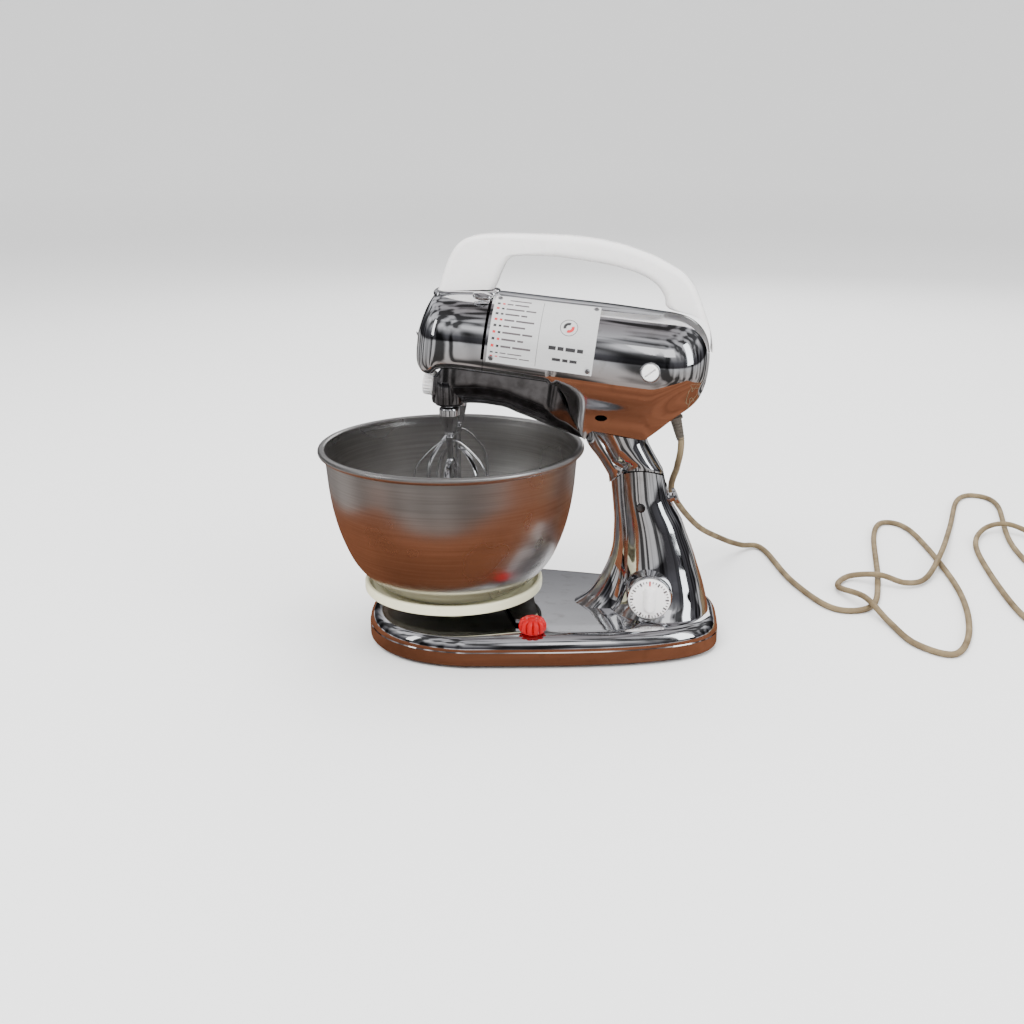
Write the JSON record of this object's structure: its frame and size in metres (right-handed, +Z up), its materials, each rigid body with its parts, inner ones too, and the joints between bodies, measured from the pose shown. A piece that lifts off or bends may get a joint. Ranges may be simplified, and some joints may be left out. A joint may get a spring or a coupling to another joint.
{
  "type": "stand mixer",
  "caption": "Chrome kitchen stand mixer with a tilting head, beaters, a steel bowl on a turntable and a long mains cord.",
  "frame": {"origin": "on the table under the middle of the mixer, cord left out", "axes": "+X from the nose to the rear, +Y to the far side, +Z up"},
  "size_m": [0.7398, 0.6024, 0.359],
  "materials": {
    "chrome": "polished",
    "stainless": "satin",
    "dark_enamel": "gloss",
    "steel": "satin",
    "copper": "satin",
    "bronze": "satin",
    "carbon": "matte",
    "white_plastic": "gloss",
    "ivory_plastic": "satin",
    "red_plastic": "gloss",
    "aluminium": "satin",
    "rubber": "matte",
    "khaki_rubber": "matte"
  },
  "bodies": {
    "stand": {"stand_casting": "chrome", "base_plate": "steel", "foot_front_near": "rubber", "foot_front_far": "rubber", "foot_rear_near": "rubber", "foot_rear_far": "rubber", "hinge_pin": "dark_enamel", "timer_body": "steel", "shift_pivot_screw": "steel", "cord": "khaki_rubber", "plug_body": "rubber", "plug_blade_left": "bronze", "plug_blade_right": "bronze"},
    "timer_dial": {"timer_dial": "white_plastic"},
    "latch": {"latch_button": "chrome"},
    "shift_arm": {"shift_arm": "chrome", "glide_pad": "white_plastic", "pivot_washer": "steel", "shift_knob": "red_plastic"},
    "turntable": {"turntable": "ivory_plastic", "turntable_washer": "steel", "bowl": "stainless"},
    "head": {"rear_housing": "chrome", "nose_cap": "chrome", "gear_case": "dark_enamel", "handle": "white_plastic", "neck": "chrome", "spec_plate": "aluminium", "plate_screw_front_top": "steel", "plate_screw_rear_top": "steel", "plate_screw_front_low": "steel", "plate_screw_rear_low": "steel", "brush_cap_near": "white_plastic", "brush_cap_far": "white_plastic", "brush_near": "carbon", "brush_far": "carbon", "stator": "steel", "field_coil_front": "copper", "field_coil_rear": "copper", "front_bearing_plate": "steel", "rear_bearing_plate": "steel", "strain_relief": "rubber"},
    "motor_shaft": {"armature": "steel", "commutator": "copper", "worm": "steel", "fan": "aluminium"},
    "near_spindle": {"spindle_near": "chrome", "worm_wheel_near": "bronze", "beater_near": "chrome"},
    "far_spindle": {"spindle_far": "chrome", "worm_wheel_far": "bronze", "beater_far": "chrome"},
    "speed_ring": {"speed_ring": "steel"},
    "front_cap": {"front_cap": "white_plastic"}
  },
  "joints": [
    {"name": "head_tilt", "type": "hinge", "parent": "stand", "child": "head", "pos_m": [0.10687, 0.00949, 0.127], "axis": [0, 1, 0], "range_deg": [0, 40], "deforming": ["cord"]},
    {"name": "bowl_shift", "type": "hinge", "parent": "stand", "child": "shift_arm", "pos_m": [-0.00213, 0.00949, 0.033], "axis": [0, 0, 1], "range_deg": [-18.2, 0]},
    {"name": "turntable_spin", "type": "hinge", "parent": "shift_arm", "child": "turntable", "pos_m": [-0.06137, 0, 0.046], "axis": [0, 0, 1], "continuous": true},
    {"name": "timer_turn", "type": "hinge", "parent": "stand", "child": "timer_dial", "pos_m": [0.11687, -0.03451, 0.052], "axis": [0, -1, 0], "range_deg": [0, 300]},
    {"name": "latch_press", "type": "slide", "parent": "stand", "child": "latch", "axis": [-0.9161, 0, -0.401], "range_m": [0, 0.0035], "stiffness_N_per_m": 300},
    {"name": "motor_spin", "type": "hinge", "parent": "head", "child": "motor_shaft", "pos_m": [-0.02638, 0.00949, 0.2683], "axis": [0.9925, 0, -0.1219], "continuous": true},
    {"name": "near_spindle_spin", "type": "hinge", "parent": "head", "child": "near_spindle", "pos_m": [-0.06063, -0.01151, 0.2], "axis": [0, 0, 1], "continuous": true},
    {"name": "far_spindle_spin", "type": "hinge", "parent": "head", "child": "far_spindle", "pos_m": [-0.06063, 0.03049, 0.2], "axis": [0, 0, 1], "continuous": true},
    {"name": "speed_turn", "type": "hinge", "parent": "head", "child": "speed_ring", "pos_m": [-0.02638, 0.00949, 0.2683], "axis": [0.9925, 0, -0.1219], "range_deg": [0, 62]},
    {"name": "front_cap_turn", "type": "hinge", "parent": "head", "child": "front_cap", "pos_m": [-0.07548, 0.00949, 0.22949], "axis": [0.9925, 0, -0.1219], "range_deg": [0, 90]}
  ],
  "couplings": [
    {"joint": "near_spindle_spin", "follows": "motor_spin", "ratio": 0.041667},
    {"joint": "far_spindle_spin", "follows": "motor_spin", "ratio": -0.041667}
  ]
}
